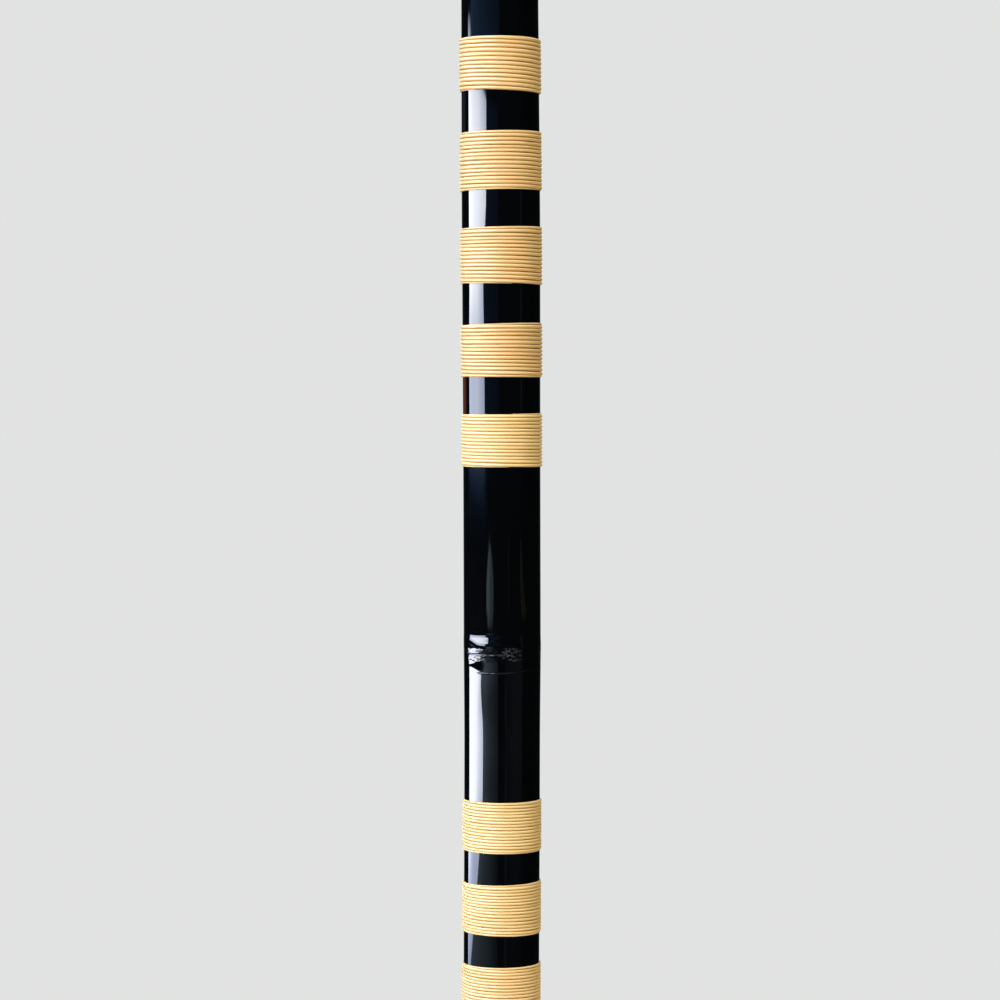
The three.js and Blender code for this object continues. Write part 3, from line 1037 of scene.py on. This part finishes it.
def window_pane(name, dim_colour, rows, material):
    """A pane of light that only gloss sees."""
    places = np.array([row for _, row in rows], float)
    slope = refined(np.repeat([[slope] for slope, _ in rows], places.shape[1], axis=1))
    angle, strength = np.radians(refined(places[:, :, 0])), refined(places[:, :, 1])
    reach = PANE_DISTANCE / np.abs(np.sin(angle))
    height = CAMERA_HEIGHT + slope * (CAMERA_DISTANCE + reach)
    points = np.stack([-reach * np.sin(angle), -reach * np.cos(angle), height], axis=-1)
    whiteness = np.interp(strength, WHITENING, [0, 1])[..., None]
    colour = np.array(dim_colour) * (1 - whiteness) + np.array(DAYLIGHT) * whiteness
    light = strength[..., None] * colour
    down, across = strength.shape
    corners = np.arange(down * across).reshape(down, across)
    quads = np.stack([corners[:-1, :-1], corners[:-1, 1:], corners[1:, 1:], corners[1:, :-1]], axis=-1)
    mesh = bpy.data.meshes.new(name)
    mesh.from_pydata(points.reshape(-1, 3).tolist(), [], quads.reshape(-1, 4).tolist())
    glow = mesh.color_attributes.new("glow", "FLOAT_COLOR", "POINT")
    glow.data.foreach_set("color", np.concatenate([light, np.ones_like(whiteness)], axis=-1).ravel())
    mesh.materials.append(material)
    pane = bpy.data.objects.new(name, mesh)
    scene.collection.objects.link(pane)
    pane.visible_camera = False
    pane.visible_diffuse = False
    pane.visible_shadow = False


def soft_light(name, place, target, size, power, colour):
    """A square light that faces the target."""
    data = bpy.data.lights.new(name, "AREA")
    data.shape = "SQUARE"
    data.size = size
    data.energy = power
    data.color = colour
    light = bpy.data.objects.new(name, data)
    light.location = place
    light.rotation_euler = (Vector(target) - Vector(place)).to_track_quat("-Z", "Y").to_euler()
    scene.collection.objects.link(light)


BACKDROP = (0.755, 0.765, 0.757)
FILL = (0.60, 0.57, 0.34)
DARK_ROOM = (0.004, 0.010, 0.012)
FAR_WALL = (0.72, 0.74, 0.75)
CEILING = (1.9, 1.95, 2.0)
CEILING_LIT = (6.0, 8.0, 12.0)


def set_world():
    """Pale to the camera, an even fill for shading, and a dark room to gloss.

    That room has a pale far wall, and a ceiling that is brighter towards -X.
    """
    world = bpy.data.worlds.new("studio")
    scene.world = world
    world.use_nodes = True
    tree = world.node_tree
    path = add(tree, "ShaderNodeLightPath")
    x, y, z = axes_of(tree, add(tree, "ShaderNodeTexCoord").outputs["Generated"])
    room = mixed(tree, between(tree, y, 0.93, 0.985), DARK_ROOM, FAR_WALL)
    ceiling = mixed(tree, between(tree, x, -0.40, -0.70), CEILING, CEILING_LIT)
    room = mixed(tree, between(tree, z, 0.25, 0.50), room, ceiling)
    lit = mixed(tree, path.outputs["Is Glossy Ray"], FILL, room)
    seen = mixed(tree, path.outputs["Is Camera Ray"], lit, BACKDROP)
    tree.links.new(seen, tree.nodes["Background"].inputs["Color"])


FLOOR_RADIUS = 0.7
FLOOR_FADE = (0.98 * FLOOR_RADIUS, 0.35 * FLOOR_RADIUS)


def floor():
    """A pale, quite matt round floor that fades out, so that no edge shows."""
    bpy.ops.mesh.primitive_circle_add(vertices=96, radius=FLOOR_RADIUS, fill_type="NGON")
    made = bpy.context.object
    made.name = "floor"
    matt = {"Base Color": (0.66, 0.66, 0.65, 1.0), "Roughness": 1.0, "Specular IOR Level": 0.0}
    material, tree, shader = new_material("floor", matt)
    length = add(tree, "ShaderNodeVectorMath", operation="LENGTH")
    tree.links.new(object_place(tree), length.inputs[0])
    tree.links.new(between(tree, length.outputs["Value"], *FLOOR_FADE), shader.inputs["Alpha"])
    made.data.materials.append(material)


# ---- Assembly ----
lacquer, lining, cane_rattan = black_lacquer(), bore_lacquer(), rattan()

tube = bamboo_tube(lacquer, lining)
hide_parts("bamboo_tube")
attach(tube, "root")

for number, node in enumerate(BINDINGS):
    strand = strand_mesh(node, number, cane_rattan)
    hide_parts(node)
    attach(strand, "root")

cloth = end_cloth(brocade())
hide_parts("end_cloth")
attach(cloth, "root")

for node, make in (
    ("wax_stopper", beeswax),
    ("lead_weight", lead),
    ("paper_wrap", mulberry_paper),
    ("head_plug", plain_wood),
):
    mesh = NODES[node].data
    mesh.materials.clear()
    mesh.materials.append(make())

set_camera()
set_world()
floor()
glowing = pane_light()
for pane in PANES:
    window_pane(*pane, glowing)
soft_light(
    "key", place=(-0.73, -1.01, 1.05), target=(0, 0, 0.27), size=0.6, power=20.7, colour=(1.0, 1.05, 1.5)
)
scene.view_settings.view_transform = "Standard"
